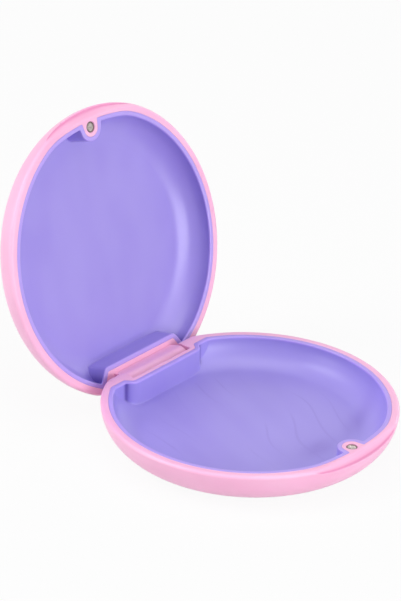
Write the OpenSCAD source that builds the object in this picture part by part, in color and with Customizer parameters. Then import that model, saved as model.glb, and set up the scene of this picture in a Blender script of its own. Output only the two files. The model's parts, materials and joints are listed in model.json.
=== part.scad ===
// Round retainer case: two domed shells with soft liners, a rear pin hinge and a pair of closing magnets.
// The origin is the centre of the flat underside, +Z is up and the thumb notch faces -Y.
// Each half is drawn with its parting plane at z = 0 and its wall below it. The lid is such a half with
// a thinner rear wall, turned over and swung open about the hinge axis, as far as its leaf lets it go.

/* [Case] */
// Outer radius of the round case
case_r = 41; // [38:0.5:46]
// Height of each half, from its flat face to the parting plane
half_h = 11; // [10.5:0.5:15]
// Radius of the round between a flat face and the side
edge_r = 11; // [8:0.5:12]
// Wall of the outer shells
shell_wall = 2.2; // [1.8:0.1:2.8]
// Wall of the liners
liner_wall = 1.2; // [0.8:0.1:1.6]
// Clearance between a liner and its shell
liner_gap = 0.1; // [0.05:0.05:0.2]
// Gap between the two rims when the case is shut
parting_gap = 0.2; // [0.1:0.05:0.4]
// Round on the outer edge of a rim
rim_round = 0.9; // [0.4:0.1:1.2]

/* [Front] */
// How much thicker the rim is at the middle of the front
front_thicken = 1.3; // [0.5:0.1:1.6]
// Radius of the flatter arc that the liner follows across the front
front_arc_r = 68; // [60:1:90]
// How far the thumb notch cuts back from the outer edge
notch_set = 2.5; // [1.5:0.1:2.8]
// How far the thumb notch reaches below the parting plane
notch_drop = 1.6; // [1:0.1:2.5]
// Radius of the notch's long edge
notch_r = 96; // [70:1:140]
// How far the notch's face is hollowed out below a straight bevel
notch_hollow = 0.8; // [0.3:0.05:0.9]

/* [Magnets] */
// Diameter of a closing magnet
magnet_d = 3; // [2.5:0.1:3.5]
// Thickness of a closing magnet
magnet_t = 2; // [1:0.1:3]
// Bevel around a magnet's faces
magnet_bevel = 0.15; // [0.05:0.05:0.3]
// Distance from the outer edge to the magnet's centre
magnet_inset = 5.25; // [4.8:0.05:6]
// How far a magnet sits below its rim
magnet_recess = 0.3; // [0.1:0.05:0.6]
// Radial clearance of a magnet in its pocket
magnet_gap = 0.05; // [0.02:0.01:0.1]
// Wall of the boss around a magnet
boss_wall = 1.15; // [0.7:0.05:1.3]

/* [Hinge] */
// Angle that the lid opens to, where its leaf meets the base
lid_open = 107.3; // [98:0.1:112]
// Distance from the outer edge to the hinge axis
hinge_inset = 5.7; // [5.5:0.1:6.5]
// Depth of the hinge axis below the parting plane
hinge_drop = 3.4; // [3.2:0.05:3.8]
// Distance from the hinge axis back to the flat rear wall
flat_back = 1.4; // [1.2:0.05:1.8]
// Thickness of the base's rear wall, which holds the pin
ear_t = 3.5; // [3:0.1:4]
// Thickness of the lid's rear wall beside the hinge
lid_back_wall = 1.2; // [1:0.1:3]
// Radius of the lid's hinge barrel
barrel_r = 2.9; // [2.5:0.05:3]
// Length of the hinge barrel
barrel_len = 23.4; // [18:0.2:26]
// Clearance around the barrel
barrel_gap = 0.25; // [0.15:0.05:0.35]
// Clearance at each end of the barrel
end_gap = 0.3; // [0.15:0.05:0.5]
// Thickness of the rib in front of the barrel
rib_wall = 1.1; // [0.8:0.1:1.6]
// Thickness of the cheeks beside the barrel
cheek_wall = 2.2; // [1.2:0.1:2.6]
// Round on the upright corners of the rib block
rib_corner = 2.2; // [0.2:0.1:2.4]
// How far the back of the leaf lies in from the back of the barrel
leaf_step = 0.6; // [0.4:0.05:0.8]
// Gap between the leaf and its stop when the lid is open
stop_gap = 0.05; // [0.02:0.01:0.1]
// Diameter of the hinge pin
pin_d = 1.5; // [1:0.1:1.8]
// Length of pin held in each end of the base
pin_grip = 5; // [3:0.1:5.4]
// Bevel on the ends of the pin
pin_bevel = 0.2; // [0.05:0.05:0.3]
// Radial clearance of the pin where it is pressed into the base
press_gap = 0.01; // [0:0.005:0.02]
// Radial clearance of the pin where the barrel turns on it
turn_gap = 0.05; // [0.02:0.01:0.1]

/* [Hidden] */
$fn = 160;

shell_pink = "#f9bfe0";
liner_violet = "#a296e6";
magnet_grey = "#b9b0ae";
pin_steel = "#c9ccd1";

// Room that cutters run past the faces they cut
over = 1;
rim_z = -parting_gap / 2;
hinge_y = case_r - hinge_inset;
rear_y = hinge_y + flat_back;
magnet_y = -(case_r - magnet_inset);
magnet_r = magnet_d / 2;
magnet_top = rim_z - magnet_recess;
boss_r = magnet_r + magnet_gap + boss_wall;
front_y = -(case_r - shell_wall - front_thicken);
notch_chord = norm([notch_set, notch_drop]);
notch_round = (pow(notch_chord / 2, 2) + pow(notch_hollow, 2)) / (2 * notch_hollow);
notch_lift = (notch_round - notch_hollow) / notch_chord;
notch_centre = [notch_r + notch_set / 2 + notch_lift * notch_drop, notch_lift * notch_set - notch_drop / 2];
pocket_half = barrel_len / 2 + end_gap;
block_half = pocket_half + cheek_wall;
rib_back = hinge_y - barrel_r - barrel_gap;
rib_front = rib_back - rib_wall;
pin_half = pocket_half + pin_grip;
leaf_back = barrel_r - leaf_step;

// Section of a half that is inset all round from the outer face, running on above the parting plane
module half_section(inset) {
    round_r = edge_r - inset;
    translate([0, inset - half_h]) square([case_r - inset - round_r, half_h]);
    translate([0, edge_r - half_h]) square([case_r - inset, half_h]);
    intersection() {
        translate([case_r - edge_r, edge_r - half_h]) circle(r = round_r);
        translate([0, -half_h]) square([case_r, half_h + edge_r]);
    }
}

// Everything below the rim
module below_rim() {
    intersection() {
        children();
        translate([-case_r - over, -case_r - over, -half_h - over])
            cube([2 * (case_r + over), 2 * (case_r + over), half_h + over + rim_z]);
    }
}

// Section of the outer face up to the rim, with its outer edge rounded
module outer_section() {
    difference() {
        intersection() {
            half_section(0);
            translate([0, -half_h]) square([case_r, half_h + rim_z]);
        }
        translate([case_r - rim_round, rim_z - rim_round]) difference() {
            square(rim_round + over);
            circle(r = rim_round);
        }
    }
}

// A solid half, cut flat along the hinge
module half_solid() {
    intersection() {
        rotate_extrude() outer_section();
        translate([-case_r - over, -case_r - over, -half_h - over])
            cube([2 * (case_r + over), case_r + over + rear_y, half_h + 2 * over]);
    }
}

// Block that carries the hinge rib, seen from above, grown by an offset
module block_outline(grow) {
    half = block_half + grow;
    corner = rib_corner + grow;
    front = rib_front - grow;
    translate([-half, front + corner]) square([2 * half, case_r]);
    translate([corner - half, front]) square([2 * (half - corner), case_r]);
    for (side = [-1, 1])
        translate([side * (half - corner), front + corner]) circle(r = corner);
}

// Boss around the magnet and the neck that joins it to the rim, seen from above, grown by an offset
module boss_outline(grow) {
    translate([0, magnet_y]) circle(r = boss_r + grow);
    translate([-boss_r - grow, -case_r]) square([2 * (boss_r + grow), case_r + magnet_y]);
}

// Outline of the space inside a shell with a given rear wall, inset all round
module cavity_outline(inset, back_wall) {
    difference() {
        intersection() {
            circle(r = case_r - shell_wall - inset);
            translate([0, front_y + front_arc_r]) circle(r = front_arc_r - inset);
            translate([-case_r, -case_r]) square([2 * case_r, case_r + rear_y - back_wall - inset]);
        }
        block_outline(inset);
        boss_outline(inset);
    }
}

// The space inside a shell, inset all round and open upwards
module cavity(inset, back_wall) {
    intersection() {
        translate([0, 0, -half_h]) linear_extrude(half_h + over) cavity_outline(inset, back_wall);
        rotate_extrude() half_section(shell_wall + inset);
    }
}

// Ring that hollows the front of the rim into a thumb notch
module thumb_notch() {
    translate([0, notch_r + notch_set - case_r, 0])
        rotate_extrude() translate(notch_centre) circle(r = notch_round);
}

// A shell before its hinge is cut
module half_shell(back_wall) {
    difference() {
        half_solid();
        cavity(0, back_wall);
        thumb_notch();
        translate([0, magnet_y, magnet_top - magnet_t])
            cylinder(h = magnet_t + magnet_recess + over, r = magnet_r + magnet_gap);
    }
}

module half_liner(back_wall) {
    below_rim() difference() {
        cavity(liner_gap, back_wall);
        cavity(liner_gap + liner_wall, back_wall);
    }
}

// A round bar with bevelled ends, standing on z = 0
module bevelled_bar(r, length, bevel) {
    rotate_extrude() polygon([
        [0, 0], [r - bevel, 0], [r, bevel], [r, length - bevel], [r - bevel, length], [0, length]
    ]);
}

module half_magnet() {
    translate([0, magnet_y, magnet_top - magnet_t]) bevelled_bar(magnet_r, magnet_t, magnet_bevel);
}

// A round bar along the hinge axis, between two places on X
module hinge_bar(r, from, to) {
    translate([from, hinge_y, -hinge_drop]) rotate([0, 90, 0]) cylinder(h = to - from, r = r);
}

// A profile seen along the hinge, with the axis at its origin, back to the right and up, run along X
module along_hinge(half) {
    translate([-half, hinge_y, -hinge_drop]) rotate([90, 0, 90]) linear_extrude(2 * half) children();
}

// Room for the barrel and the swinging leaf, whose slanted floor is the lid's stop
module hinge_pocket() {
    along_hinge(pocket_half) {
        circle(r = barrel_r + barrel_gap);
        translate([-barrel_r - barrel_gap, 0]) square([case_r, hinge_drop + over]);
        rotate(90 - lid_open) translate([0, -leaf_back - stop_gap]) square(case_r);
    }
}

// What is rounded off the base's rear edge so that the lid's rim can pass it
module rear_edge_cut() {
    along_hinge(case_r) difference() {
        square([case_r, hinge_drop + over]);
        circle(r = hinge_drop + rim_z);
    }
}

// The lid's barrel and the leaf that runs straight up from its front, drawn for the shut lid and kept
// inside its dome
module hinge_leaf() {
    intersection() {
        along_hinge(barrel_len / 2) {
            circle(r = barrel_r);
            translate([-barrel_r, 0]) square([barrel_r + leaf_back, hinge_drop + half_h]);
        }
        mirror([0, 0, 1]) rotate_extrude() half_section(0);
    }
}

module in_base() {
    translate([0, 0, half_h]) children();
}

module in_open_lid() {
    translate([0, hinge_y, half_h - hinge_drop]) rotate([-lid_open, 0, 0])
        translate([0, -hinge_y, hinge_drop]) children();
}

module base_shell() {
    color(shell_pink) in_base() difference() {
        half_shell(ear_t);
        hinge_pocket();
        rear_edge_cut();
        hinge_bar(pin_d / 2 + press_gap, -pin_half, case_r);
    }
}

module base_liner() {
    color(liner_violet) in_base() half_liner(ear_t);
}

module base_magnet() {
    color(magnet_grey) in_base() half_magnet();
}

module hinge_pin() {
    color(pin_steel) in_base() translate([-pin_half, hinge_y, -hinge_drop]) rotate([0, 90, 0])
        bevelled_bar(pin_d / 2, 2 * pin_half, pin_bevel);
}

module lid_shell() {
    color(shell_pink) in_open_lid() difference() {
        union() {
            mirror([0, 0, 1]) half_shell(lid_back_wall);
            hinge_leaf();
        }
        hinge_bar(pin_d / 2 + turn_gap, -case_r, case_r);
    }
}

module lid_liner() {
    color(liner_violet) in_open_lid() mirror([0, 0, 1]) half_liner(lid_back_wall);
}

module lid_magnet() {
    color(magnet_grey) in_open_lid() mirror([0, 0, 1]) half_magnet();
}

base_shell();
base_liner();
base_magnet();
hinge_pin();
lid_shell();
lid_liner();
lid_magnet();
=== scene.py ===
# %% [markdown]
# # A round retainer case, standing open
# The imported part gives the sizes, the places and the hinge. This lesson dresses it. The two pink
# shells and the two violet liners are made again as smooth surfaces with rounded lips and fillets.
# The magnets and the hinge pin keep their solids, because turned metal needs no more shape.
# Every piece then gets a moulded or a metal finish, and a white table and soft light finish the scene.

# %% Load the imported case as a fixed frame
import json
import math

import bpy
import numpy as np
from mathutils import Matrix, Vector


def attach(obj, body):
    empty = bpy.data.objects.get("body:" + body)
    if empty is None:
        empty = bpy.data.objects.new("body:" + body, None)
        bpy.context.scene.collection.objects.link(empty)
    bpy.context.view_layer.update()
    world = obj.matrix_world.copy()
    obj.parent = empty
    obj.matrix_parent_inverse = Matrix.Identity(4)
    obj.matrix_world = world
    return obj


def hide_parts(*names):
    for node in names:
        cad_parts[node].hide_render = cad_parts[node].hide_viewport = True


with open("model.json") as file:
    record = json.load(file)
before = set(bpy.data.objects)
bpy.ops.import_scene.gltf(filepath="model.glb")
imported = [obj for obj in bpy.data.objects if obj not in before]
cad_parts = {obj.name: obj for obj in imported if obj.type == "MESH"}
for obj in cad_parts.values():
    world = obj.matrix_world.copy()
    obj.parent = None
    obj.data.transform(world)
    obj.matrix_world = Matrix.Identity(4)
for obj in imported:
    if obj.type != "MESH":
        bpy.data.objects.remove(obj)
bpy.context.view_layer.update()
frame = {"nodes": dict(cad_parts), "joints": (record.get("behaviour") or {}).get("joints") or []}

MM = 0.001

# %% [markdown]
# ## Sizes
# All lengths of the case are millimetres, as a moulder would write them, and they become metres only
# where Blender takes them. Each half is worked out with its parting plane at z = 0 and its wall below it,
# because the two halves share one section. The lid is that section turned over, with a thinner wall at the
# rear and tighter corners there. The hinge's place and the lid's angle come from the frame's joint.

# %% Driving sizes of the case, in millimetres
CASE_R = 41.0
HALF_H = 11.0
EDGE_R = 11.0
SHELL_WALL = 2.2
RIM_Z = -0.1

joint = frame["joints"][0]
HINGE_Y = joint["pos_m"][1] / MM
HINGE_DROP = HALF_H - joint["pos_m"][2] / MM
LID_OPEN = math.radians(-joint["range_deg"][0])
print(f"hinge axis {HINGE_Y:.2f} mm back and {HINGE_DROP:.2f} mm down")
print(f"lid open {math.degrees(LID_OPEN):.1f} degrees")

# %% [markdown]
# ## The outline that shell and liner share
# Seen from above, the liner fills a circle that is flatter across the front, cut straight at the hinge,
# and pushed in by two things: the block around the hinge and the boss around the magnet. It could be drawn
# as a curve with many handles. Traced as the distance from the middle along each ray, it is a plain array
# instead, the nearest of a few simple reaches. Averaging that array a little around the circle rounds its
# corners as a mould's corners are.

# %% Sizes of the outline
FRONT_THICKEN = 1.3
FRONT_ARC_R = 68.0
MAGNET_INSET = 5.25
BOSS_R = 2.7

REAR_SET = 1.4
BASE_BACK_WALL = 3.5
LID_BACK_WALL = 1.2
POCKET_R = 3.15
POCKET_HALF = 12.0
RIB_WALL = 1.1
CHEEK_WALL = 2.2
BASE_RIB_CORNER = 2.2
LID_RIB_CORNER = 0.8

FRONT_Y = SHELL_WALL + FRONT_THICKEN - CASE_R
MAGNET_Y = MAGNET_INSET - CASE_R
REAR_Y = HINGE_Y + REAR_SET
RIB_FRONT = HINGE_Y - POCKET_R - RIB_WALL
BLOCK_HALF = POCKET_HALF + CHEEK_WALL
BASE_REAR = (REAR_Y - BASE_BACK_WALL, BASE_RIB_CORNER)
LID_REAR = (REAR_Y - LID_BACK_WALL, LID_RIB_CORNER)
print(f"hinge block {2 * BLOCK_HALF:.1f} mm wide, with its front {RIB_FRONT:.2f} mm behind the middle")

# %% Reach along every ray
RAYS = 14400
ray = np.arange(RAYS) * (2 * np.pi / RAYS)
FAR = 1e3
LEAST_RISE = 0.2


def reach_to_circle(angle, centre, radius, near):
    """Along a ray, the near or far root of the quadratic for a circle round a centre (x, y)."""
    along = np.cos(angle) * centre[0] + np.sin(angle) * centre[1]
    under = along ** 2 - centre[0] ** 2 - centre[1] ** 2 + radius ** 2
    root = np.sqrt(np.maximum(under, 0))
    reach = along - root if near else along + root
    return np.where((under > 0) & (reach > 0), reach, FAR)


def reach_to_wall(angle, wall_y, half):
    """Along a ray, wall_y over the ray's sine, where the ray meets that wall within half either side."""
    rise = np.sin(angle)
    behind = rise > LEAST_RISE
    reach = wall_y / np.where(behind, rise, 1)
    return np.where(behind & (np.abs(reach * np.cos(angle)) < half), reach, FAR)


def soften(reach, width):
    """The reach averaged around the circle under a bell of that width in degrees, by its Fourier terms."""
    turns = np.arange(RAYS // 2 + 1)
    bell = np.exp(-0.5 * (turns * math.radians(width)) ** 2)
    return np.fft.irfft(np.fft.rfft(reach) * bell, RAYS)


print(f"{RAYS} rays, and the shortest to the flat rear is {reach_to_wall(ray, REAR_Y, FAR).min():.2f} mm")

# %% Outline of the space in a shell
CORNER_SOFT = 0.22
BOSS_SOFT = 0.15
FRONT_SOFT = 3.5


def block_corner(inset, rib_corner):
    """Centre and radius of the round on the hinge block's right corner, moved out by inset."""
    radius = rib_corner + inset
    return BLOCK_HALF + inset - radius, RIB_FRONT - inset + radius, radius


def cavity_reach(inset, rear):
    """The outline of the space in a shell, moved in by inset: the least reach of its parts, then softened.

    rear is the place of the rear wall and the round on the block's corners. The flatter front arc runs into
    the side circle by a wider softening of its own.
    """
    corner_x, corner_y, corner = block_corner(inset, rear[1])
    front = reach_to_circle(ray, (0, FRONT_Y + FRONT_ARC_R), FRONT_ARC_R - inset, near=False)
    parts = [
        soften(np.minimum(front, CASE_R - SHELL_WALL - inset), FRONT_SOFT),
        reach_to_wall(ray, rear[0] - inset, FAR),
        reach_to_wall(ray, RIB_FRONT - inset, corner_x),
        reach_to_circle(ray, (corner_x, corner_y), corner, near=True),
        reach_to_circle(ray, (-corner_x, corner_y), corner, near=True),
    ]
    boss = reach_to_circle(ray, (0, MAGNET_Y), BOSS_R + inset, near=True)
    return soften(np.minimum(soften(np.minimum.reduce(parts), CORNER_SOFT), boss), BOSS_SOFT)


widest = cavity_reach(0, BASE_REAR).max()
print(f"the space in the base reaches {widest:.2f} mm from the middle")

# %% [markdown]
# The mesh needs far fewer rays than that. Even steps would spend most points on the plain round sides, so
# the stations crowd where the outline turns sharply: at the ends of the hinge block and beside the boss.

# %% Stations round the case
STATION_COUNT = 560
BACK_ANGLE = 90
FRONT_ANGLE = 270
BLOCK_END = 25.5
BOSS_SIDE = 5.4
CROWD_WIDTH = 2.4
CROWD_BOOST = 9


def packed_angles(count, corners, width, boost):
    """Angles that crowd near corners: even steps of the running total of 1 plus a bell at each corner."""
    off = (ray[:, None] - np.radians(corners)[None, :] + np.pi) % (2 * np.pi) - np.pi
    density = 1 + boost * np.exp(-(off / math.radians(width)) ** 2).sum(1)
    total = np.concatenate([[0], np.cumsum(density)])
    return np.interp(np.arange(count) * total[-1] / count, total, np.append(ray, 2 * np.pi))


def at_stations(values):
    """Values along the fine rays, read at the stations, as a column."""
    return np.interp(stations, np.append(ray, 2 * np.pi), np.append(values, values[0]))[:, None]


block_ends = [BACK_ANGLE - BLOCK_END, BACK_ANGLE + BLOCK_END]
boss_sides = [FRONT_ANGLE - BOSS_SIDE, FRONT_ANGLE + BOSS_SIDE]
stations = packed_angles(STATION_COUNT, block_ends + boss_sides, CROWD_WIDTH, CROWD_BOOST)
print(f"{len(stations)} stations, the closest {np.degrees(np.diff(stations)).min():.3f} degrees apart")

# %% [markdown]
# ## From rings to a mesh
# A bowl with a lip is a profile carried round an outline, from the middle of its underside, up the
# outside, over the lip and down to the middle of its inside. So one grid closes it, with a single
# point at each end. The faces are worked out as arrays too, and the sign of the enclosed volume says
# whether they point outwards, which matters because the lid is a mirrored copy.

# %% Mesh helpers
def enclosed_volume(points, triangles):
    """Six times the signed volume: the sum of the triple products of the triangles' corners."""
    a, b, c = (points[triangles[:, k]] for k in range(3))
    return float(np.einsum("ij,ij->i", a, np.cross(b, c)).sum())


def mesh_object(name, points, faces):
    """A mesh object at the origin from points in millimetres and a list of face index arrays."""
    mesh = bpy.data.meshes.new(name)
    mesh.from_pydata((points * MM).tolist(), [], [row for part in faces for row in part.tolist()])
    mesh.update()
    made = bpy.data.objects.new(name, mesh)
    bpy.context.scene.collection.objects.link(made)
    return made


def closed_rings(name, rings):
    """Quads between neighbouring rings, which are closed, and a fan of triangles at each end's point.

    rings is (ring, station, 3), and its first and last ring are each one repeated point.
    """
    count = rings.shape[1]
    inner = rings[1:-1]
    points = np.concatenate([inner.reshape(-1, 3), rings[0, :1], rings[-1, :1]])
    start, end = len(points) - 2, len(points) - 1
    here = np.arange(count)
    after = (here + 1) % count
    row = np.arange(len(inner) - 1)[:, None] * count
    corners = [row + here, row + after, row + count + after, row + count + here]
    quads = np.stack(corners, -1).reshape(-1, 4)
    last = (len(inner) - 1) * count
    fan_start = np.stack([np.full(count, start), after, here], -1)
    fan_end = np.stack([np.full(count, end), last + here, last + after], -1)
    triangles = np.concatenate([quads[:, [0, 1, 2]], quads[:, [0, 2, 3]], fan_start, fan_end])
    if enclosed_volume(points, triangles) < 0:
        quads, fan_start, fan_end = quads[:, ::-1], fan_start[:, ::-1], fan_end[:, ::-1]
    return mesh_object(name, points, [quads, fan_start, fan_end])


unit_corner = np.vstack([np.zeros(3), np.eye(3)])
unit_faces = np.array([[0, 2, 1], [0, 1, 3], [0, 3, 2], [1, 2, 3]])
print("six times the volume of a unit cube's corner:", enclosed_volume(unit_corner, unit_faces))

# %% [markdown]
# Every bowl is worked out in one place, with its parting plane at z = 0, and is then carried to the base or
# to the open lid. The objects could be moved instead, but finishes are laid out in an object's own space.
# So the place goes into the mesh, and no pattern slides.

# %% Places and curves
def joined(parts):
    """Rings of points (ring, station, 3) from a list of pairs of a reach and a height, in order."""
    count = len(stations)
    reach = np.concatenate([np.broadcast_to(r, (count, r.shape[1])) for r, _ in parts], 1)
    height = np.concatenate([np.broadcast_to(z, (count, r.shape[1])) for r, z in parts], 1)
    x = reach * np.cos(stations)[:, None]
    y = reach * np.sin(stations)[:, None]
    return np.stack([x, y, height], -1).transpose(1, 0, 2)


def in_base(points):
    """Lifts a half so that its flat underside lies at z = 0."""
    return points + np.array([0, 0, HALF_H])


def in_open_lid(points):
    """Mirrors a half in its parting plane, then swings it open about the hinge axis."""
    y = points[..., 1] - HINGE_Y
    z = HINGE_DROP - points[..., 2]
    c, s = math.cos(LID_OPEN), math.sin(LID_OPEN)
    return np.stack([points[..., 0], HINGE_Y + y * c + z * s, HALF_H - HINGE_DROP - y * s + z * c], -1)


def dome_depth(reach, inset, top):
    """Depth of a face inside the dome: flat, then a quarter ellipse up to depth top at its edge."""
    across = np.clip((reach - (CASE_R - EDGE_R)) / (EDGE_R - inset), 0, 1)
    return top + (HALF_H - inset - top) * np.sqrt(1 - across ** 2)


def turn(count, start=0.0, end=90.0):
    """Angles from start to end in degrees, as a row in radians."""
    return np.radians(np.linspace(start, end, count))[None, :]


print("front edge of the open lid in mm:", in_open_lid(np.array([0.0, -CASE_R, 0.0])).round(1))

# %% [markdown]
# ## The violet liners
# Each liner is a thin tray pressed into its shell. Its inside sweeps from the lip into a flat floor in
# one quarter round, but where the hinge block and the magnet boss push in, the wall is upright and meets
# the floor in a small fillet. Bevelling a box would round all of these alike. Here the wall's rule uses
# the distance from the outline, measured square to it, so one formula serves both kinds of wall and
# blends between them.

# %% Inside of a tray
LINER_GAP = 0.1
LINER_WALL = 1.2
LINER_IN = LINER_GAP + LINER_WALL
LIP_IN = 0.4
WALL_LEAN = 0.16
FLOOR_FILLET = 0.3
TINY = 1e-4
COVE_STEPS = 40
FLOOR_STEPS = 12


def tray_inside(inner, square):
    """Reach and height of a tray's inside: a quarter-round cove into the floor, or an upright wall.

    The wall is upright where the outline lies in from the plain circle. There it goes straight down within
    WALL_LEAN of the outline, and a quarter round of FLOOR_FILLET leads into the floor.
    """
    inset = SHELL_WALL + LINER_IN
    lip_top = -RIM_Z + LIP_IN
    inward = (EDGE_R - inset) * (1 - np.cos(turn(COVE_STEPS)[:, 1:]))
    share = 1 - np.linspace(0, 1, FLOOR_STEPS)[None, 1:]
    radius = np.concatenate([inner - inward, (inner - inward[:, -1:]) * share], 1)
    distance = (inner - radius) * square
    upright = np.clip((CASE_R - inset - inner) / FRONT_THICKEN, 0, 1)
    floor = dome_depth(radius, inset, lip_top)
    fillet = np.maximum(FLOOR_FILLET * upright, TINY)
    lean = np.maximum(WALL_LEAN * upright, TINY)
    t = np.clip((distance - lean) / fillet, 0, 1)
    foot = floor - fillet * (1 - np.sqrt(1 - (1 - t) ** 2))
    wall = lip_top + np.maximum(floor - fillet - lip_top, 0) * np.clip(distance / lean, 0, 1)
    depth = np.where(distance < lean, np.minimum(wall, foot), foot)
    return radius, -np.maximum(depth, lip_top)


plain_wall = np.array([[CASE_R - SHELL_WALL - LINER_IN]])
print(f"a tray's floor lies {-tray_inside(plain_wall, 1.0)[1].min():.1f} mm below the parting plane")

# %% Liners from the underside, over the lip, to the floor
LINER_SEAM = 0.03
LIP_OUT = 0.1
LEAST_SQUARE = 0.12
HIDDEN_STEPS = 14
OUTER_LIP_STEPS = 5
INNER_LIP_STEPS = 7
FLAT_SHARES = np.array([[0, 0.4, 0.8]])


def liner_rings(rear):
    """Rings of a liner from the middle of its underside over the lip to the middle of its floor.

    The second result is 1 for the rings of the lip and 0 for all others.
    """
    out = at_stations(cavity_reach(LINER_SEAM, rear))
    in_fine = cavity_reach(LINER_IN, rear)
    inner = at_stations(in_fine)
    slope = np.gradient(in_fine, ray) / in_fine
    square = at_stations(np.maximum(1 / np.sqrt(1 + slope ** 2), LEAST_SQUARE))

    inset = SHELL_WALL + LINER_SEAM
    inward = (EDGE_R - inset) * (1 - np.cos(turn(HIDDEN_STEPS, 90, 0)))
    under = np.concatenate([(out - inward[:, :1]) * FLAT_SHARES, out - inward], 1)
    under_z = -dome_depth(under, inset, -RIM_Z + 2 * LIP_OUT)
    a = turn(OUTER_LIP_STEPS)
    outer_lip = (out - LIP_OUT * (1 - np.cos(a)), RIM_Z - LIP_OUT + LIP_OUT * np.sin(a))
    a = turn(INNER_LIP_STEPS)
    inner_lip = (inner + LIP_IN * (1 - np.sin(a)), RIM_Z - LIP_IN + LIP_IN * np.cos(a))

    parts = [(under, under_z), outer_lip, inner_lip, tray_inside(inner, square)]
    on_lip = np.repeat([0.0, 1.0, 1.0, 0.0], [reach.shape[1] for reach, _ in parts])
    return joined(parts), on_lip[:, None]


base_tray, base_lip = liner_rings(BASE_REAR)
lid_tray, lid_lip = liner_rings(LID_REAR)
base_liner = closed_rings("base_liner_tray", in_base(base_tray))
lid_liner = closed_rings("lid_liner_tray", in_open_lid(lid_tray))
print(f"liners: {len(base_liner.data.polygons)} faces each")

# %% [markdown]
# A tray gets a painted highlight along its thin lip and painted shade in the deep creases beside the
# hinge block. The base's floor also shows flow lines, and two faint patches of painted shade towards the
# magnet. These marks follow the shape, so painting them by hand would be lost work whenever a size
# changes. Each is a value at every point of the mesh, worked out from the same rings, and the material
# turns it into colour later.

# %% Painted highlight on the lips and painted shade in the creases
# Widths of the painted shade in the creases beside the hinge block, wider in the lid, where it also darkens
# the block's end faces.
BASE_CREASE_SHADE = 0.8
LID_CREASE_SHADE = 2.6


def mark_points(piece, name, values):
    """Gives every point of a closed_rings mesh a value of its ring and station, as a named attribute."""
    grid = np.broadcast_to(values, (len(values), len(stations)))
    layer = piece.data.attributes.new(name, "FLOAT", "POINT")
    layer.data.foreach_set("value", np.concatenate([grid[1:-1].ravel(), grid[0, :1], grid[-1, :1]]))


def block_crease_shade(rings, rear, width):
    """A bell of painted shade, of that width, round the two lines where the hinge block's ends meet the wall
    behind.

    Such a line lies on the ray that just touches the block's corner, where the ray meets the nearer wall.
    """
    corner_x, corner_y, corner = block_corner(LINER_IN, rear[1])
    angle = math.atan2(corner_x, corner_y) + math.asin(corner / math.hypot(corner_x, corner_y))
    reach = min(CASE_R - SHELL_WALL - LINER_IN, (rear[0] - LINER_IN) / math.cos(angle))
    away_x = np.abs(rings[..., 0]) - reach * math.sin(angle)
    away_y = rings[..., 1] - reach * math.cos(angle)
    return np.exp(-(away_x ** 2 + away_y ** 2) / width ** 2)


# The lip's mark is a painted highlight along the thin lip, and the crease's mark is painted shade.
for piece, tray, lip, rear, crease_shade_width in (
        (base_liner, base_tray, base_lip, BASE_REAR, BASE_CREASE_SHADE),
        (lid_liner, lid_tray, lid_lip, LID_REAR, LID_CREASE_SHADE)):
    mark_points(piece, "lip", lip)
    mark_points(piece, "crease_shade", block_crease_shade(tray, rear, crease_shade_width) * (1 - lip))
print(f"creases marked {BASE_CREASE_SHADE} mm wide in the base and {LID_CREASE_SHADE} mm in the lid")

# %% Marks on the base's floor: where flow lines show, and painted shade
FLOOR_R = 29.0
FLOOR_FADE = 4.0
# Each patch of painted shade is a place, a direction in degrees, a length and a width.
SHADE_PATCHES = (((22.0, -20.5), 22, 10.0, 2.4), ((3.0, -22.0), 0, 6.0, 3.0))


def on_floor(rings):
    """1 over the flat middle of a tray, falling to 0 before its walls begin."""
    return np.clip((FLOOR_R - np.hypot(rings[..., 0], rings[..., 1])) / FLOOR_FADE, 0, 1)


def long_bell(rings, middle, toward, length, width):
    """A bell round a place (x, y), with one width along a direction in degrees and another across it."""
    x = rings[..., 0] - middle[0]
    y = rings[..., 1] - middle[1]
    c, s = math.cos(math.radians(toward)), math.sin(math.radians(toward))
    return np.exp(-((x * c + y * s) / length) ** 2 - ((y * c - x * s) / width) ** 2)


mark_points(base_liner, "floor", on_floor(base_tray))
# Painted shade in two patches on the floor, beside the boss and along the right foot of the wall.
mark_points(base_liner, "shade_patch", np.maximum.reduce([long_bell(base_tray, *shade_patch) for shade_patch in SHADE_PATCHES]))
layers = [layer.name for layer in base_liner.data.attributes if layer.data_type == "FLOAT"]
print("marks on the base liner:", ", ".join(layers))

# %% [markdown]
# ## The pink shells
# A shell's outside is a dome of revolution. Three things shape it further: the back is flat along the
# hinge, the outer edge of the rim is rounded, and a crescent at the front is hollowed out for a thumb.
# The crescent is what a wide thin ring with a round section would cut from the dome, and a round shoulder
# leads into it from the rim. A Boolean cut would leave a ragged edge where the two faces run together, so
# the rim's edge is worked out twice, as a round and as the notch, and the lower height is kept everywhere.

# %% Thumb notch
# It starts NOTCH_SET in from the front, ends NOTCH_DROP down the dome and sinks NOTCH_HOLLOW in between.
NOTCH_SET = 2.5
NOTCH_DROP = 1.6
NOTCH_R = 96.0
NOTCH_HOLLOW = 0.8
SHOULDER_R = 0.6
NOTCH_ROUNDS = 5

NOTCH_Y = NOTCH_R + NOTCH_SET - CASE_R
notch_chord = math.hypot(NOTCH_SET, NOTCH_DROP)
notch_round = (notch_chord ** 2 / 4 + NOTCH_HOLLOW ** 2) / (2 * NOTCH_HOLLOW)
notch_lift = (notch_round - NOTCH_HOLLOW) / notch_chord
notch_mid_r = NOTCH_R + NOTCH_SET / 2 + notch_lift * NOTCH_DROP
notch_mid_z = notch_lift * NOTCH_SET - NOTCH_DROP / 2
shoulder_drop = SHOULDER_R - RIM_Z + notch_mid_z
shoulder_out = math.sqrt((notch_round + SHOULDER_R) ** 2 - shoulder_drop ** 2)
shoulder_mid = notch_mid_r - shoulder_out
shoulder_end = notch_mid_r - shoulder_out * notch_round / (notch_round + SHOULDER_R)


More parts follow.
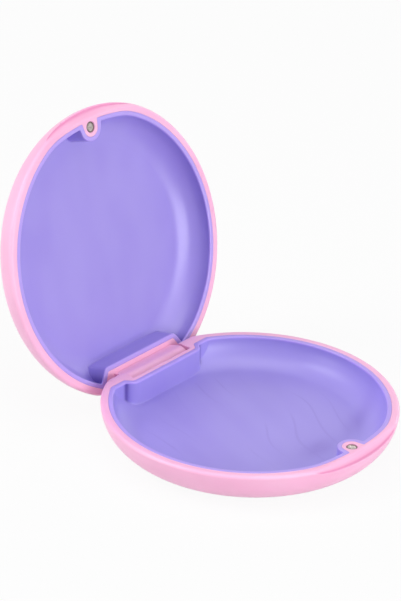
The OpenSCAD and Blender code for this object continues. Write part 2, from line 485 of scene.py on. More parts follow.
def notch_floor(angle, radius):
    """Height of the notch at a place: a round shoulder, then the lower half of a round groove.

    Off both it is FAR up, so that it never is the lower height there.
    """
    out = np.hypot(radius * np.cos(angle), radius * np.sin(angle) - NOTCH_Y)
    groove = notch_mid_z - np.sqrt(np.maximum(notch_round ** 2 - (out - notch_mid_r) ** 2, 0))
    shoulder = RIM_Z - SHOULDER_R + np.sqrt(np.maximum(SHOULDER_R ** 2 - (out - shoulder_mid) ** 2, 0))
    inside = (out > shoulder_mid) & (out < notch_mid_r + notch_round) & (np.sin(angle) < 0)
    return np.where(inside, np.where(out < shoulder_end, shoulder, groove), FAR)


def dome_radius(depth):
    """Radius of the dome at a depth below the parting plane."""
    return CASE_R - EDGE_R + np.sqrt(EDGE_R ** 2 - depth ** 2)


def notch_depth(angle):
    """How far below the parting plane the notch leaves the dome, by a few rounds of substitution."""
    depth = np.zeros_like(angle)
    for _ in range(NOTCH_ROUNDS):
        depth = np.clip(-notch_floor(angle, dome_radius(depth)), 0, HALF_H / 2)
    return depth


print(f"the notch goes {notch_depth(stations[:, None]).max():.2f} mm down the dome")

# %% [markdown]
# At the rear a shell is flat along the hinge. Cutting it off would leave a sharp corner all round, so the
# points behind a plane are pushed onto it with a soft bend. The base's rear edge is also rounded about the
# hinge axis, so that the lid's rim can swing past it.

# %% Rear of a shell
REAR_SOFT = 0.5


def flat_back(points):
    """Moves what lies behind the rear wall's plane onto it, with a soft bend where it starts."""
    room = REAR_Y - points[..., 1]
    kept = (room + np.sqrt(room ** 2 + REAR_SOFT ** 2)) / 2
    return np.stack([points[..., 0], REAR_Y - kept, points[..., 2]], -1)


def round_rear_edge(points):
    """Lowers the rear edge onto a cylinder round the hinge axis, so that the lid's rim can pass it."""
    back = np.maximum(points[..., 1] - HINGE_Y, 0)
    limit = -HINGE_DROP + np.sqrt(np.maximum((HINGE_DROP + RIM_Z) ** 2 - back ** 2, 0))
    return np.stack([points[..., 0], points[..., 1], np.minimum(points[..., 2], limit)], -1)


print(f"flat rear {REAR_Y:.2f} mm behind the middle")

# %% [markdown]
# The rest of a shell is like the liner: reaches and heights in order, from under the middle, over the rim,
# to the inside of the middle. The notch's lowest line is marked too, for a painted shade along the
# groove's bottom.

# %% Dome, rim and inside of a shell
RIM_ROUND = 0.9
RIM_INNER_ROUND = 0.1
DOME_STEPS = 40
EDGE_STEPS = 32
CORNER_STEPS = 4


def dome_and_edge(angle):
    """Reach and height of the dome and of the rim's edge, and how deep the notch cuts into that edge.

    The edge is the lower of the rim's round and the notch, from the dome's end to the rim's flat top.
    """
    round_depth = RIM_ROUND - RIM_Z
    edge_angle = np.arcsin(np.maximum(round_depth, notch_depth(angle)) / EDGE_R)
    sweep = np.pi / 2 + (edge_angle - np.pi / 2) * np.linspace(0, 1, DOME_STEPS)[None, :]
    dome_r = CASE_R - EDGE_R + EDGE_R * np.cos(sweep)
    dome_z = -EDGE_R * np.sin(sweep)

    start_r = dome_r[:, -1:]
    round_mid = dome_radius(round_depth) - RIM_ROUND
    end_r = np.minimum(round_mid, reach_to_circle(angle, (0, NOTCH_Y), shoulder_mid, near=False))
    t = (1 - np.cos(np.linspace(0, np.pi, EDGE_STEPS)))[None, 1:] / 2
    edge_r = start_r + (end_r - start_r) * t
    across = np.clip((edge_r - round_mid) / RIM_ROUND, 0, 1)
    round_z = RIM_Z - RIM_ROUND * (1 - np.sqrt(1 - across ** 2))
    edge_z = np.minimum(round_z, notch_floor(angle, edge_r))
    return (dome_r, dome_z), (edge_r, edge_z), round_z - edge_z


def corner_and_inside(inner):
    """Reach and height of the small round inside the rim, and of the face behind the liner."""
    a = turn(CORNER_STEPS)
    corner_r = inner + RIM_INNER_ROUND * (1 - np.sin(a))
    corner_z = RIM_Z - RIM_INNER_ROUND * (1 - np.cos(a))
    inward = (EDGE_R - SHELL_WALL) * (1 - np.cos(turn(HIDDEN_STEPS)))
    in_r = np.concatenate([inner - inward, (inner - inward[:, -1:]) * FLAT_SHARES[:, ::-1]], 1)
    in_z = -dome_depth(in_r, SHELL_WALL, -RIM_Z + 2 * RIM_INNER_ROUND)
    return [(corner_r, corner_z), (in_r, in_z)]


print(f"the notch cuts {dome_and_edge(stations[:, None])[2].max():.2f} mm into the rim's edge")

# %% Shells from the underside, over the rim, to the inside
# How narrow and how strong the painted shade along the notch's groove is.
NOTCH_SHADE_POWER = 9
NOTCH_SHADE_FULL = 0.7
RIM_STEPS = 12
UNDERSIDE = (CASE_R - EDGE_R) * np.array([[0, 0.35, 0.7, 0.9]])


def shell_rings(rear):
    """Rings of a shell from the middle of its underside, over the rim, to the middle of its inside.

    The second result is painted shade: 0 but for the thumb notch, rising to 1 along the groove's lowest
    line.
    """
    inner = at_stations(cavity_reach(0, rear))
    dome, edge, cut = dome_and_edge(stations[:, None])
    end_r = edge[0][:, -1:]
    share = np.linspace(0, 1, RIM_STEPS)[None, 1:-1]
    top_r = end_r + (inner + RIM_INNER_ROUND - end_r) * share
    outside = joined([(UNDERSIDE, -HALF_H), dome, edge, (top_r, RIM_Z)])
    rings = np.concatenate([flat_back(outside), joined(corner_and_inside(inner))])

    first = UNDERSIDE.shape[1] + DOME_STEPS
    deepest = np.maximum(cut.max(1, keepdims=True), TINY)
    notch_shade = np.zeros(rings.shape[:2])
    mark = (cut / deepest) ** NOTCH_SHADE_POWER * np.clip(deepest / NOTCH_SHADE_FULL, 0, 1)
    notch_shade[first:first + cut.shape[1]] = mark.T
    return rings, notch_shade


base_bowl, base_notch_shade = shell_rings(BASE_REAR)
base_shell = closed_rings("base_shell_moulding", in_base(round_rear_edge(base_bowl)))
mark_points(base_shell, "notch_shade", base_notch_shade)
lid_bowl, lid_notch_shade = shell_rings(LID_REAR)
lid_shell = closed_rings("lid_shell_moulding", in_open_lid(lid_bowl))
mark_points(lid_shell, "notch_shade", lid_notch_shade)
print(f"shells before the hinge is cut: {len(base_shell.data.polygons)} faces each")

# %% [markdown]
# ## The hinge
# The lid carries a barrel on a short leaf. The base has a pocket for them, open at the back, whose
# slanted floor stops the leaf when the lid is fully open. These are profiles run along the hinge, and
# the Boolean modifier joins them to the shells or cuts them out. A cut made this way leaves a clean
# closed mesh, which matters to anyone who prints or measures the part.

# %% Profiles along the hinge, and a Boolean
def arc(radius, start, end, count):
    """Points on a circle round the hinge axis, from one angle to another in degrees."""
    a = np.radians(np.linspace(start, end, count))
    return np.stack([radius * np.cos(a), radius * np.sin(a)], -1)


def run_along_hinge(name, profile, half, place):
    """A prism: a profile of (back, up) from the hinge axis, repeated at x = -half and half, with caps."""
    count = len(profile)
    ends = [np.column_stack([np.full(count, x), HINGE_Y + profile[:, 0], profile[:, 1] - HINGE_DROP])
            for x in (-half, half)]
    points = place(np.concatenate(ends))
    here = np.arange(count)
    after = (here + 1) % count
    sides = np.stack([here, after, after + count, here + count], -1)
    caps = np.stack([here[::-1], here + count])
    fan = np.stack([np.zeros(count, int) + count, here + count, after + count], -1)
    fan_low = np.stack([np.zeros(count, int), after, here], -1)
    triangles = np.concatenate([sides[:, [0, 1, 2]], sides[:, [0, 2, 3]], fan, fan_low])
    if enclosed_volume(points, triangles) < 0:
        sides, caps = sides[:, ::-1], caps[:, ::-1]
    return mesh_object(name, points, [sides, caps])


def combine(target, tool, operation):
    """Joins a tool to the target or cuts it out, keeps the result as the target's mesh, removes the tool."""
    step = target.modifiers.new(operation.lower(), "BOOLEAN")
    step.operation = operation
    step.solver = "EXACT"
    step.object = tool
    bpy.context.view_layer.update()
    old = target.data
    ready = target.evaluated_get(bpy.context.evaluated_depsgraph_get())
    target.data = bpy.data.meshes.new_from_object(ready)
    target.data.name = old.name
    target.modifiers.clear()
    bpy.data.objects.remove(tool)


print("a quarter turn at radius 1 ends at", arc(1.0, 0, 90, 2)[1].round(3) + 0.0)

# %% [markdown]
# The pocket is a round trough for the barrel. Its floor leaves the round in a straight slope, which lies
# just clear of the leaf's back when the lid is open, so the slope's direction follows from the lid's angle.

# %% Pocket in the base
LEAF_BACK = 2.3
STOP_GAP = 0.05
CUT_OVER = 2.0
REACH_BACK = 8.0
POCKET_STEPS = 40
stop_depth = LEAF_BACK + STOP_GAP
slope_dir = np.array([math.sin(LID_OPEN), math.cos(LID_OPEN)])
slope_foot = stop_depth * np.array([math.cos(LID_OPEN), -math.sin(LID_OPEN)])
meets = slope_foot + math.sqrt(POCKET_R ** 2 - stop_depth ** 2) * slope_dir
meets_angle = 360 + math.degrees(math.atan2(meets[1], meets[0]))
slope_end = slope_foot + REACH_BACK * slope_dir
pocket = np.concatenate([
    [[-POCKET_R, HINGE_DROP + CUT_OVER]],
    arc(POCKET_R, 180, meets_angle, POCKET_STEPS),
    [slope_end, [slope_end[0], HINGE_DROP + CUT_OVER]],
])
combine(base_shell, run_along_hinge("pocket", pocket, POCKET_HALF, in_base), "DIFFERENCE")
print(f"base shell with its pocket: {len(base_shell.data.polygons)} faces")

# %% [markdown]
# The leaf has to follow the lid's dome outside, or it would stand out as a square tab. So its profile is
# run far up, and only the part inside the dome is kept. It stays a hair below the dome's own face, because
# two faces in exactly the same place are the hardest case for a Boolean.

# %% Barrel and leaf on the lid
BARREL_R = 2.9
BARREL_HALF = 11.7
BARREL_STEPS = 60
LEAF_RISE = 10.0
LEAF_SINK = 0.04


def shut_lid(points):
    """Swings points of the shut lid open. They are mirrored first, because in_open_lid mirrors them back."""
    return in_open_lid(points * np.array([1, 1, -1]))


def dome_solid(name, inset, place):
    """The whole dome at an inset, run on past the parting plane: its profile turned about the middle."""
    sweep = turn(DOME_STEPS, 90, 0)
    side_r = CASE_R - EDGE_R + (EDGE_R - inset) * np.cos(sweep)
    side_z = -(EDGE_R - inset) * np.sin(sweep)
    top_r = np.array([[CASE_R - inset, 0]])
    parts = [(UNDERSIDE, inset - HALF_H), (side_r, side_z), (top_r, HALF_H)]
    return closed_rings(name, place(joined(parts)))


leaf_meet = math.degrees(math.asin(LEAF_BACK / BARREL_R))
leaf = np.concatenate([
    arc(BARREL_R, 180, 450 - leaf_meet, BARREL_STEPS),
    [[LEAF_BACK, HINGE_DROP + LEAF_RISE], [-BARREL_R, HINGE_DROP + LEAF_RISE]],
])
barrel_and_leaf = run_along_hinge("leaf", leaf, BARREL_HALF, shut_lid)
combine(barrel_and_leaf, dome_solid("dome", LEAF_SINK, in_open_lid), "INTERSECT")
combine(lid_shell, barrel_and_leaf, "UNION")
print(f"lid shell with its barrel: {len(lid_shell.data.polygons)} faces")

# %% [markdown]
# The pin sits in round bores, tight in the base and loose in the lid's barrel, and each magnet sits in a
# round pocket whose mouth widens a little. All of these are turned shapes that are cut out. A limit on the
# angle between faces then keeps the cut edges crisp, while the rest is shaded smooth.

# %% Bores for the pin
PIN_R = 0.75
PIN_HALF = 17.0
PRESS_GAP = 0.01
TURN_GAP = 0.05


def round_steps(count):
    """Even angles for one turn, in radians."""
    return np.arange(count) * (2 * np.pi / count)


def pin_bore(name, low, high, radius, place, count=48):
    """A plain bar turned about the hinge axis between two places on it, with a point at each end."""
    a = round_steps(count)
    x = np.array([low, low, high, high])[:, None]
    r = np.array([0, radius, radius, 0])[:, None]
    rings = [np.broadcast_to(x, (len(x), count)), HINGE_Y + r * np.cos(a), r * np.sin(a) - HINGE_DROP]
    return closed_rings(name, place(np.stack(rings, -1)))


combine(base_shell, pin_bore("base_bore", -PIN_HALF, CASE_R, PIN_R + PRESS_GAP, in_base), "DIFFERENCE")
combine(lid_shell, pin_bore("lid_bore", -CASE_R, CASE_R, PIN_R + TURN_GAP, shut_lid), "DIFFERENCE")
print(f"bores {2 * (PIN_R + PRESS_GAP):.2f} mm wide in the base, {2 * (PIN_R + TURN_GAP):.2f} mm in the lid")

# %% Pockets for the magnets, and shading
MAGNET_HOLE_R = 1.55
HOLE_DEPTH = 2.3
MOUTH_WIDER = 0.2
MOUTH_DEPTH = 0.15
MOUTH_END = 0.05
HOLE_OVER = 1.0
SHARP = math.radians(34)


def magnet_pocket(name, place, count=64):
    """A round pocket that widens a little at its mouth, turned about the magnet's own axis."""
    a = round_steps(count)
    mouth_r = MAGNET_HOLE_R + MOUTH_WIDER
    r = np.array([0, MAGNET_HOLE_R, MAGNET_HOLE_R, mouth_r, mouth_r, 0])[:, None]
    z = RIM_Z + np.array([-HOLE_DEPTH, -HOLE_DEPTH, -MOUTH_DEPTH, MOUTH_END, HOLE_OVER, HOLE_OVER])[:, None]
    rings = [r * np.cos(a), MAGNET_Y + r * np.sin(a), np.broadcast_to(z, (len(z), count))]
    return closed_rings(name, place(np.stack(rings, -1)))


combine(base_shell, magnet_pocket("base_magnet_pocket", in_base), "DIFFERENCE")
combine(lid_shell, magnet_pocket("lid_magnet_pocket", in_open_lid), "DIFFERENCE")

for piece in (base_shell, lid_shell, base_liner, lid_liner):
    piece.data.shade_smooth()
    piece.data.set_sharp_from_angle(angle=SHARP)
print(f"base shell {len(base_shell.data.polygons)} faces, lid shell {len(lid_shell.data.polygons)} faces")

# %% [markdown]
# ## Finishes
# A material is a chain of nodes. It could be wired by hand in the editor, but then it couldn't be read
# here. So most of these helpers place one node and return its output, and a material reads like a recipe.

# %% Helpers for materials
# Places of the sockets that a Mix node uses for colours, several of which share a name
MIX_FACTOR, MIX_BASE, MIX_OVER, MIX_RESULT = 0, 6, 7, 2


def ramp(tree, value, span, low_colour, high_colour):
    """A colour that eases from one to the other as a value goes through a span."""
    node = tree.nodes.new("ShaderNodeValToRGB")
    node.color_ramp.interpolation = "EASE"
    for stop, position, colour in zip(node.color_ramp.elements, span, (low_colour, high_colour)):
        stop.position = position
        stop.color = colour
    tree.links.new(value, node.inputs["Fac"])
    return node.outputs["Color"]


def mixed(tree, factor, base, over):
    """Goes from a linked colour to a fixed one, by a factor."""
    node = tree.nodes.new("ShaderNodeMix")
    node.data_type = "RGBA"
    tree.links.new(factor, node.inputs[MIX_FACTOR])
    tree.links.new(base, node.inputs[MIX_BASE])
    node.inputs[MIX_OVER].default_value = over
    return node.outputs[MIX_RESULT]


def point_value(tree, attribute):
    """The value of a named point attribute, which is 0 on a mesh without it."""
    node = tree.nodes.new("ShaderNodeAttribute")
    node.attribute_name = attribute
    return node.outputs["Fac"]


def object_place(tree):
    """The place in Object coordinates, which stay with the piece when its body moves."""
    return tree.nodes.new("ShaderNodeTexCoord").outputs["Object"]


def new_material(name):
    """A material with its node tree and its shader."""
    material = bpy.data.materials.new(name)
    material.use_nodes = True
    tree = material.node_tree
    return material, tree, tree.nodes["Principled BSDF"]


def linear(red, green, blue):
    """A screen colour of 0 to 255 per channel as linear light, with full alpha."""
    c = np.array([red, green, blue]) / 255
    light = np.where(c <= 0.04045, c / 12.92, ((c + 0.055) / 1.055) ** 2.4)
    return (*light.tolist(), 1.0)


print("middle grey in linear light:", round(linear(128, 128, 128)[0], 3))

# %% [markdown]
# Moulded plastic is never one flat colour: it has faint clouds of pigment, streaks where the melt flowed,
# and a fine grain from the mould. A tray's floor can also show thin flow lines. A picture of plastic would
# repeat or blur close up, and noise does neither. These four patterns are one node group, built once,
# which each plastic uses with its own sizes and its own shader.

# %% Values, and a node group with named sockets
GROUP_INPUTS = (("Cloud scale", 40.0), ("Streak scale", 60.0), ("Grain scale", 2500.0))
GROUP_OUTPUTS = ("Cloud", "Streak", "Grain", "Line")


def smooth_range(tree, value, span, result=(0.0, 1.0)):
    """Goes smoothly from the first result to the second as a value goes through a span."""
    node = tree.nodes.new("ShaderNodeMapRange")
    node.interpolation_type = "SMOOTHSTEP"
    for label, number in zip(("From Min", "From Max", "To Min", "To Max"), (*span, *result)):
        node.inputs[label].default_value = number
    tree.links.new(value, node.inputs["Value"])
    return node.outputs["Result"]


def product(tree, first, second):
    """Two values multiplied."""
    node = tree.nodes.new("ShaderNodeMath")
    node.operation = "MULTIPLY"
    tree.links.new(first, node.inputs[0])
    tree.links.new(second, node.inputs[1])
    return node.outputs["Value"]


def empty_group(name):
    """A shader node group that takes a vector and the inputs above, and gives the outputs above."""
    group = bpy.data.node_groups.new(name, "ShaderNodeTree")
    group.interface.new_socket("Vector", in_out="INPUT", socket_type="NodeSocketVector")
    for label, value in GROUP_INPUTS:
        socket = group.interface.new_socket(label, in_out="INPUT", socket_type="NodeSocketFloat")
        socket.default_value = value
    for label in GROUP_OUTPUTS:
        group.interface.new_socket(label, in_out="OUTPUT", socket_type="NodeSocketFloat")
    return group


plastic_group = empty_group("moulded_plastic")
print("sockets:", ", ".join(item.name for item in plastic_group.interface.items_tree))

# %% Patterns of moulded plastic
STREAK_TURN = 70
STREAK_STRETCH = (4.0, 0.45, 1.0)
WAVE_TURN = -25
WAVE_SCALE = 42.0
WAVE_BEND = 5.0
WAVE_CREST = (0.965, 1.0)
LINE_CLOUD = (0.45, 0.6)


def add_patterns(group):
    """Clouds are broad noise, streaks are noise stretched along the melt's flow, grain is fine noise.

    Lines are the crests of a bent wave, kept only where the cloud is high.
    """
    start = group.nodes.new("NodeGroupInput")
    end = group.nodes.new("NodeGroupOutput")
    link = group.links.new
    place = start.outputs["Vector"]

    def noise(scale_socket, vector, detail):
        """Noise at a place, with its scale from one of the group's inputs."""
        node = group.nodes.new("ShaderNodeTexNoise")
        node.inputs["Detail"].default_value = detail
        link(start.outputs[scale_socket], node.inputs["Scale"])
        link(vector, node.inputs["Vector"])
        return node.outputs["Fac"]

    def turned(degrees, stretch=(1, 1, 1)):
        """The place for a texture that is turned about the z axis and stretched."""
        node = group.nodes.new("ShaderNodeMapping")
        node.vector_type = "TEXTURE"
        node.inputs["Rotation"].default_value = (0, 0, math.radians(degrees))
        node.inputs["Scale"].default_value = stretch
        link(place, node.inputs["Vector"])
        return node.outputs["Vector"]

    cloud = noise("Cloud scale", place, detail=2.0)
    streak = noise("Streak scale", turned(STREAK_TURN, STREAK_STRETCH), detail=0.0)
    wave = group.nodes.new("ShaderNodeTexWave")
    wave.inputs["Scale"].default_value = WAVE_SCALE
    wave.inputs["Distortion"].default_value = WAVE_BEND
    wave.inputs["Detail"].default_value = 0.0
    link(turned(WAVE_TURN), wave.inputs["Vector"])
    crest = smooth_range(group, wave.outputs["Fac"], WAVE_CREST)
    link(cloud, end.inputs["Cloud"])
    link(streak, end.inputs["Streak"])
    link(noise("Grain scale", place, detail=3.0), end.inputs["Grain"])
    link(product(group, crest, smooth_range(group, cloud, LINE_CLOUD)), end.inputs["Line"])


add_patterns(plastic_group)
print("node group:", plastic_group.name, "with", len(plastic_group.nodes), "nodes")

# %% [markdown]
# The shells are pink and the liners violet, both satin. The group's values go to the colour, to the
# roughness and to a very low bump. The marks made with the meshes come on top, and all are painted light:
# a painted highlight on the liners' lip, painted shade in their creases and in two patches on the base's
# floor, and painted shade along the notch. A little light under the surface softens the shading, as in
# real plastic. The base's liner is duller than the lid's, as a tray that things lie in would be.

# %% Pink plastic of the shells
NOISE_SPAN = (0.3, 0.7)
GRAIN_DEPTH = 0.04 * MM
GLOW_RADIUS = (1.0, 0.6, 0.8)
GLOW_DEPTH = 1.2 * MM
PLASTIC_IOR = 1.57


def plastic(name, deep, pale, streak, streak_share, roughness, grain, scales, glow, marks, line=None):
    """A moulded plastic: clouded colour, faint streaks, uneven gloss and a fine grain.

    marks are pairs of a point attribute's name and the colour that shows where it is 1. line, where given,
    is the colour of the thin flow lines on the floor.
    """
    material, tree, shader = new_material(name)
    patterns = tree.nodes.new("ShaderNodeGroup")
    patterns.node_tree = plastic_group
    tree.links.new(object_place(tree), patterns.inputs["Vector"])
    for (label, _), value in zip(GROUP_INPUTS, scales):
        patterns.inputs[label].default_value = value
    cloud = patterns.outputs["Cloud"]

    colour = ramp(tree, cloud, NOISE_SPAN, deep, pale)
    flow = smooth_range(tree, patterns.outputs["Streak"], NOISE_SPAN, (0.0, streak_share))
    colour = mixed(tree, flow, colour, streak)
    if line:
        floor_line = product(tree, patterns.outputs["Line"], point_value(tree, "floor"))
        colour = mixed(tree, floor_line, colour, line)
    for attribute, marked in marks:
        colour = mixed(tree, point_value(tree, attribute), colour, marked)
    tree.links.new(colour, shader.inputs["Base Color"])
    tree.links.new(smooth_range(tree, cloud, NOISE_SPAN, roughness), shader.inputs["Roughness"])

    bump = tree.nodes.new("ShaderNodeBump")
    bump.inputs["Strength"].default_value = grain
    bump.inputs["Distance"].default_value = GRAIN_DEPTH
    tree.links.new(patterns.outputs["Grain"], bump.inputs["Height"])
    tree.links.new(bump.outputs["Normal"], shader.inputs["Normal"])
    shader.inputs["Subsurface Weight"].default_value = glow
    shader.inputs["Subsurface Radius"].default_value = GLOW_RADIUS
    shader.inputs["Subsurface Scale"].default_value = GLOW_DEPTH
    shader.inputs["IOR"].default_value = PLASTIC_IOR
    return material


# The notch mark's deeper pink is painted shade along the notch's groove.
pink = plastic(
    "pink_shell_plastic", linear(245, 178, 214), linear(249, 186, 220), linear(251, 196, 226),
    streak_share=0.25, roughness=(0.36, 0.44), grain=0.06, scales=(55.0, 40.0, 3000.0), glow=0.12,
    marks=[("notch_shade", linear(228, 140, 186))])
print("plastic of the shells:", pink.name)

# %% Violet plastic of the liners
VIOLET = {"streak_share": 0.2, "grain": 0.08, "scales": (35.0, 70.0, 2600.0), "glow": 0.05}
# The lip's paler violet is a painted highlight, and the crease's dark violet is painted shade.
VIOLET_PAINTED_LIGHT = [("lip", linear(179, 156, 236)), ("crease_shade", linear(88, 68, 160))]
# The dark violet of the patches on the base's floor is painted shade.
SHADE_PATCH_MARK = ("shade_patch", linear(145, 130, 211))
violet_lid = plastic(
    "violet_lid_plastic", linear(153, 137, 219), linear(159, 144, 222), linear(168, 155, 226),
    roughness=(0.285, 0.33), marks=VIOLET_PAINTED_LIGHT, **VIOLET)
violet_base = plastic(
    "violet_base_plastic", linear(155, 141, 221), linear(161, 148, 224), linear(170, 159, 228),
    roughness=(0.33, 0.39), marks=[*VIOLET_PAINTED_LIGHT, SHADE_PATCH_MARK], line=linear(155, 142, 219), **VIOLET)
print("plastics of the liners:", violet_lid.name, violet_base.name)

# %% [markdown]
# The magnets are nickel-plated discs, dull from handling, with painted shade towards the rim where the
# pocket's edge shades them. The base's magnet has a paler, more varied copy of the plating and the lid's a
# darker one: lit and shaded copies of one nickel.
# The pin is drawn steel wire, with fine lines along its length. All are metals, so their colour is
# that of their reflection, and fine marks vary it together with the roughness.

# %% Painted shade at the rim of a magnet
# The dark colour of the painted shade at a magnet's rim, where the pocket's edge shades it.
RIM_SHADE = linear(84, 72, 68)
RIM_RADII = (0.95 * MM, 1.45 * MM)


def rim_mask(tree, place, middle, tilt):
    """0 to 1 between the rim's two radii round a disc's axis, which runs through middle, leaning by tilt."""
    turned = Matrix.Rotation(tilt, 3, "X")
    mapping = tree.nodes.new("ShaderNodeMapping")
    mapping.inputs["Rotation"].default_value = (tilt, 0, 0)
    mapping.inputs["Location"].default_value = -(turned @ Vector(middle))
    flat = tree.nodes.new("ShaderNodeVectorMath")
    flat.operation = "MULTIPLY"
    flat.inputs[1].default_value = (1, 1, 0)
    away = tree.nodes.new("ShaderNodeVectorMath")
    away.operation = "LENGTH"
    tree.links.new(place, mapping.inputs["Vector"])
    tree.links.new(mapping.outputs["Vector"], flat.inputs[0])
    tree.links.new(flat.outputs["Vector"], away.inputs[0])
    return smooth_range(tree, away.outputs["Value"], RIM_RADII)


base_disc = (0, MAGNET_Y * MM, 0)
lid_disc = (in_open_lid(np.array([0, MAGNET_Y, 0])) * MM).tolist()
print("the axis of the lid's magnet goes through", np.round(lid_disc, 4), "m")

# %% Metal materials
SCRATCH_SPAN = (0.35, 0.65)
SCRATCH_DETAIL = 4.0
EVEN = (1, 1, 1)
ALONG_X = (0.05, 1, 1)


def metal(name, dark, bright, roughness, stretch, scale, rim=None):
    """A metal with fine, perhaps stretched marks in colour and roughness, and painted shade at its rim if
    given.
    """
    material, tree, shader = new_material(name)
    place = object_place(tree)
    mapping = tree.nodes.new("ShaderNodeMapping")
    mapping.inputs["Scale"].default_value = stretch
    scratches = tree.nodes.new("ShaderNodeTexNoise")
    scratches.inputs["Scale"].default_value = scale
    scratches.inputs["Detail"].default_value = SCRATCH_DETAIL
    tree.links.new(place, mapping.inputs["Vector"])
    tree.links.new(mapping.outputs["Vector"], scratches.inputs["Vector"])
    colour = ramp(tree, scratches.outputs["Fac"], SCRATCH_SPAN, dark, bright)
    if rim:
        colour = mixed(tree, rim_mask(tree, place, *rim), colour, RIM_SHADE)
    uneven = smooth_range(tree, scratches.outputs["Fac"], NOISE_SPAN, roughness)
    tree.links.new(colour, shader.inputs["Base Color"])
    tree.links.new(uneven, shader.inputs["Roughness"])
    shader.inputs["Metallic"].default_value = 1.0
    return material


# A paler copy of the nickel for the base's magnet and a darker one for the lid's: lit and shaded copies of
# one plating.
base_nickel = metal(
    "base_nickel_plating", linear(132, 120, 114), linear(232, 224, 218), roughness=(0.28, 0.4),
    stretch=EVEN, scale=2200.0, rim=(base_disc, 0.0))
lid_nickel = metal(
    "lid_nickel_plating", linear(150, 141, 137), linear(186, 178, 174), roughness=(0.28, 0.4),
    stretch=EVEN, scale=1800.0, rim=(lid_disc, LID_OPEN))
steel = metal(
    "drawn_steel", linear(160, 162, 166), linear(205, 207, 210), roughness=(0.2, 0.4),
    stretch=ALONG_X, scale=2500.0)
print("metals:", base_nickel.name, lid_nickel.name, steel.name)

# %% [markdown]
# ## Pieces on their bodies
# Each new piece rides on the base or on the lid, so that it swings with the hinge, and it stands in for
# the plain solid of the same part. The magnets and the pin already have their places.

# %% Dress the case
for piece, material, slot_name, body, node in (
        (base_shell, pink, "shell", "base", "base_shell"),
        (base_liner, violet_base, "liner", "base", "base_liner"),
        (lid_shell, pink, "shell", "lid", "lid_shell"),
        (lid_liner, violet_lid, "liner", "lid", "lid_liner")):
    piece.data.materials.clear()
    piece.data.materials.append(material)
    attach(piece, body)
    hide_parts(node)

for node, material in (("base_magnet", base_nickel), ("lid_magnet", lid_nickel), ("hinge_pin", steel)):
    carried = frame["nodes"][node]
    carried.data.materials.clear()
    carried.data.materials.append(material)

# %% [markdown]
# ## Table, light and camera
# The case stands on a white table. A table bright enough to look white would need lamps that burn out the
# pale pink. So the table and the sky show white through Light Path only to the rays that carry their
# picture, straight or mirrored. The pink itself gets no more light, and the table still takes the shadow.

# %% Table
TABLE_HALF = 3000.0
TABLE_DROP = 0.1
TABLE_GREY = (0.72, 0.72, 0.72, 1)
TABLE_LIFT = 0.93
WHITE = (1, 1, 1, 1)


def seen_ray(tree):
    """1 for rays that carry a picture of the background: the largest of three outputs of Light Path."""
    path = tree.nodes.new("ShaderNodeLightPath")
    seen = path.outputs["Is Camera Ray"]
    for label in ("Is Glossy Ray", "Is Transmission Ray"):
        larger = tree.nodes.new("ShaderNodeMath")
        larger.operation = "MAXIMUM"
        tree.links.new(seen, larger.inputs[0])
        tree.links.new(path.outputs[label], larger.inputs[1])
        seen = larger.outputs["Value"]
    return seen


def table_white():
    """A pale diffuse table, mixed with plain white by TABLE_LIFT for the rays that see it."""
    material, tree, shader = new_material("table_white")
    tree.nodes.remove(shader)
    matt = tree.nodes.new("ShaderNodeBsdfDiffuse")
    matt.inputs["Color"].default_value = TABLE_GREY
    lift = tree.nodes.new("ShaderNodeEmission")
    lift.inputs["Color"].default_value = WHITE
    share = tree.nodes.new("ShaderNodeMath")
    share.operation = "MULTIPLY"
    share.inputs[1].default_value = TABLE_LIFT
    blend = tree.nodes.new("ShaderNodeMixShader")
    tree.links.new(seen_ray(tree), share.inputs[0])
    tree.links.new(share.outputs["Value"], blend.inputs[0])
    tree.links.new(matt.outputs["BSDF"], blend.inputs[1])
    tree.links.new(lift.outputs["Emission"], blend.inputs[2])
    tree.links.new(blend.outputs["Shader"], tree.nodes["Material Output"].inputs["Surface"])
    return material


corners = TABLE_HALF * np.array([[-1, -1, 0], [1, -1, 0], [1, 1, 0], [-1, 1, 0]])
table = mesh_object("table", corners - np.array([0, 0, TABLE_DROP]), [np.array([[0, 1, 2, 3]])])
table.data.materials.append(table_white())
print(f"table {2 * TABLE_HALF * MM:.0f} m wide, {TABLE_DROP} mm below the case")

# %% Sky
SKY_LIGHT = 0.08
world = bpy.data.worlds.new("studio")
world.use_nodes = True
bpy.context.scene.world = world
sky_tree = world.node_tree
strength = sky_tree.nodes.new("ShaderNodeMapRange")
strength.inputs["To Min"].default_value = SKY_LIGHT
strength.inputs["To Max"].default_value = 1.0
sky = sky_tree.nodes["Background"]
sky.inputs["Color"].default_value = WHITE
sky_tree.links.new(seen_ray(sky_tree), strength.inputs["Value"])
sky_tree.links.new(strength.outputs["Result"], sky.inputs["Strength"])
print(f"sky light {SKY_LIGHT} on the case, and 1 where the sky is seen")

# %% [markdown]
# The light is that of a small product studio. A wide softbox stands low in front and draws the soft upright
# band in the lid's rounded side. Two large ones, high in front and overhead, light the tray's floor. Three
# smaller ones, at the rear left, the left and the right, brighten the pink edges. Each is given by its
# direction, so that it is easy to walk one round the case and see what it does.

# %% Lamps
# In metres, degrees and watts. Each lamp is a name, an azimuth, an elevation, a width, a height, a power.
CASE_MIDDLE = np.array([0.0, 0.02, 0.03])
LAMP_AWAY = 1.2
LAMPS = (
    ("front_softbox", -4, 10, 1.1, 0.6, 9.5),
    ("front_top_softbox", 0, 40, 0.9, 0.9, 3.7),
    ("overhead_softbox", 0, 88, 1.0, 1.0, 5.9),
    ("rear_left_softbox", -135, 45, 0.5, 0.5, 5.8),
    ("left_edge_light", -122, 11, 0.5, 0.5, 4.8),
    ("right_edge_light", 95, 12, 0.5, 0.5, 1.2),
)


def direction(azimuth, elevation):
    """The direction from the case for angles in radians: azimuth 0 is in front, positive to the right."""
    level = np.array([math.sin(azimuth), -math.cos(azimuth), 0]) * math.cos(elevation)
    return level + np.array([0, 0, math.sin(elevation)])


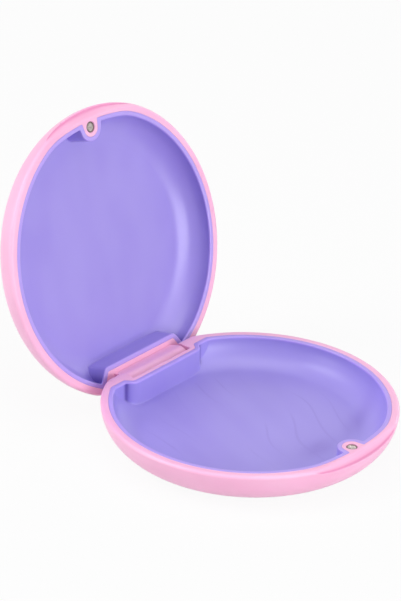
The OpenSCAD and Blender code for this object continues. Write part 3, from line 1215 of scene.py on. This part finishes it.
def soft_lamp(name, azimuth, elevation, width, height, watts):
    """An oblong lamp of a given width and height in metres, which looks at the case from a direction."""
    data = bpy.data.lights.new(name, "AREA")
    data.shape = "RECTANGLE"
    data.size = width
    data.size_y = height
    data.energy = watts
    lamp = bpy.data.objects.new(name, data)
    bpy.context.scene.collection.objects.link(lamp)
    away = direction(math.radians(azimuth), math.radians(elevation))
    side = np.cross([0, 0, 1.0], away)
    side /= np.linalg.norm(side)
    turned = np.column_stack([side, np.cross(away, side), away])
    place = (CASE_MIDDLE + LAMP_AWAY * away).tolist()
    lamp.matrix_world = Matrix.Translation(place) @ Matrix(turned.tolist()).to_4x4()


for lamp_row in LAMPS:
    soft_lamp(*lamp_row)
print(f"{len(LAMPS)} soft lamps")

# %% [markdown]
# The camera is a long lens at about a metre, turned by a small roll. Placing it by eye would never bring
# both rims into line, so its numbers were worked out from the ellipses of the two rims. The colours are
# shown with the Standard view, which leaves them as they are written.

# %% Camera
AZIMUTH, ELEVATION, ROLL = np.radians([-49.8227, 27.6639, 1.511])
CAMERA_AWAY = 1028.2
CAMERA_RIGHT = -13.58
CAMERA_UP = 27.56
FOCAL_PIXELS = 3758.44
PICTURE_HEIGHT = 601
SENSOR = 36.0
SIGHT = 20000.0

back = direction(AZIMUTH, ELEVATION)
level = np.array([np.cos(AZIMUTH), np.sin(AZIMUTH), 0])
upright = np.cross(back, level)
right = np.cos(ROLL) * level + np.sin(ROLL) * upright
up = np.cos(ROLL) * upright - np.sin(ROLL) * level
spot = back * CAMERA_AWAY + right * CAMERA_RIGHT + up * CAMERA_UP + np.array([0, 0, HALF_H])

camera_data = bpy.data.cameras.new("camera")
camera_data.sensor_width = SENSOR
camera_data.lens = FOCAL_PIXELS * SENSOR / PICTURE_HEIGHT
camera_data.clip_end = SIGHT * MM
camera = bpy.data.objects.new("camera", camera_data)
bpy.context.scene.collection.objects.link(camera)
facing = Matrix(np.column_stack([right, up, back]).tolist()).to_4x4()
camera.matrix_world = Matrix.Translation((spot * MM).tolist()) @ facing
bpy.context.scene.camera = camera
bpy.context.scene.view_settings.view_transform = "Standard"
print(f"camera at {np.round(spot)} mm with a {camera_data.lens:.0f} mm lens")
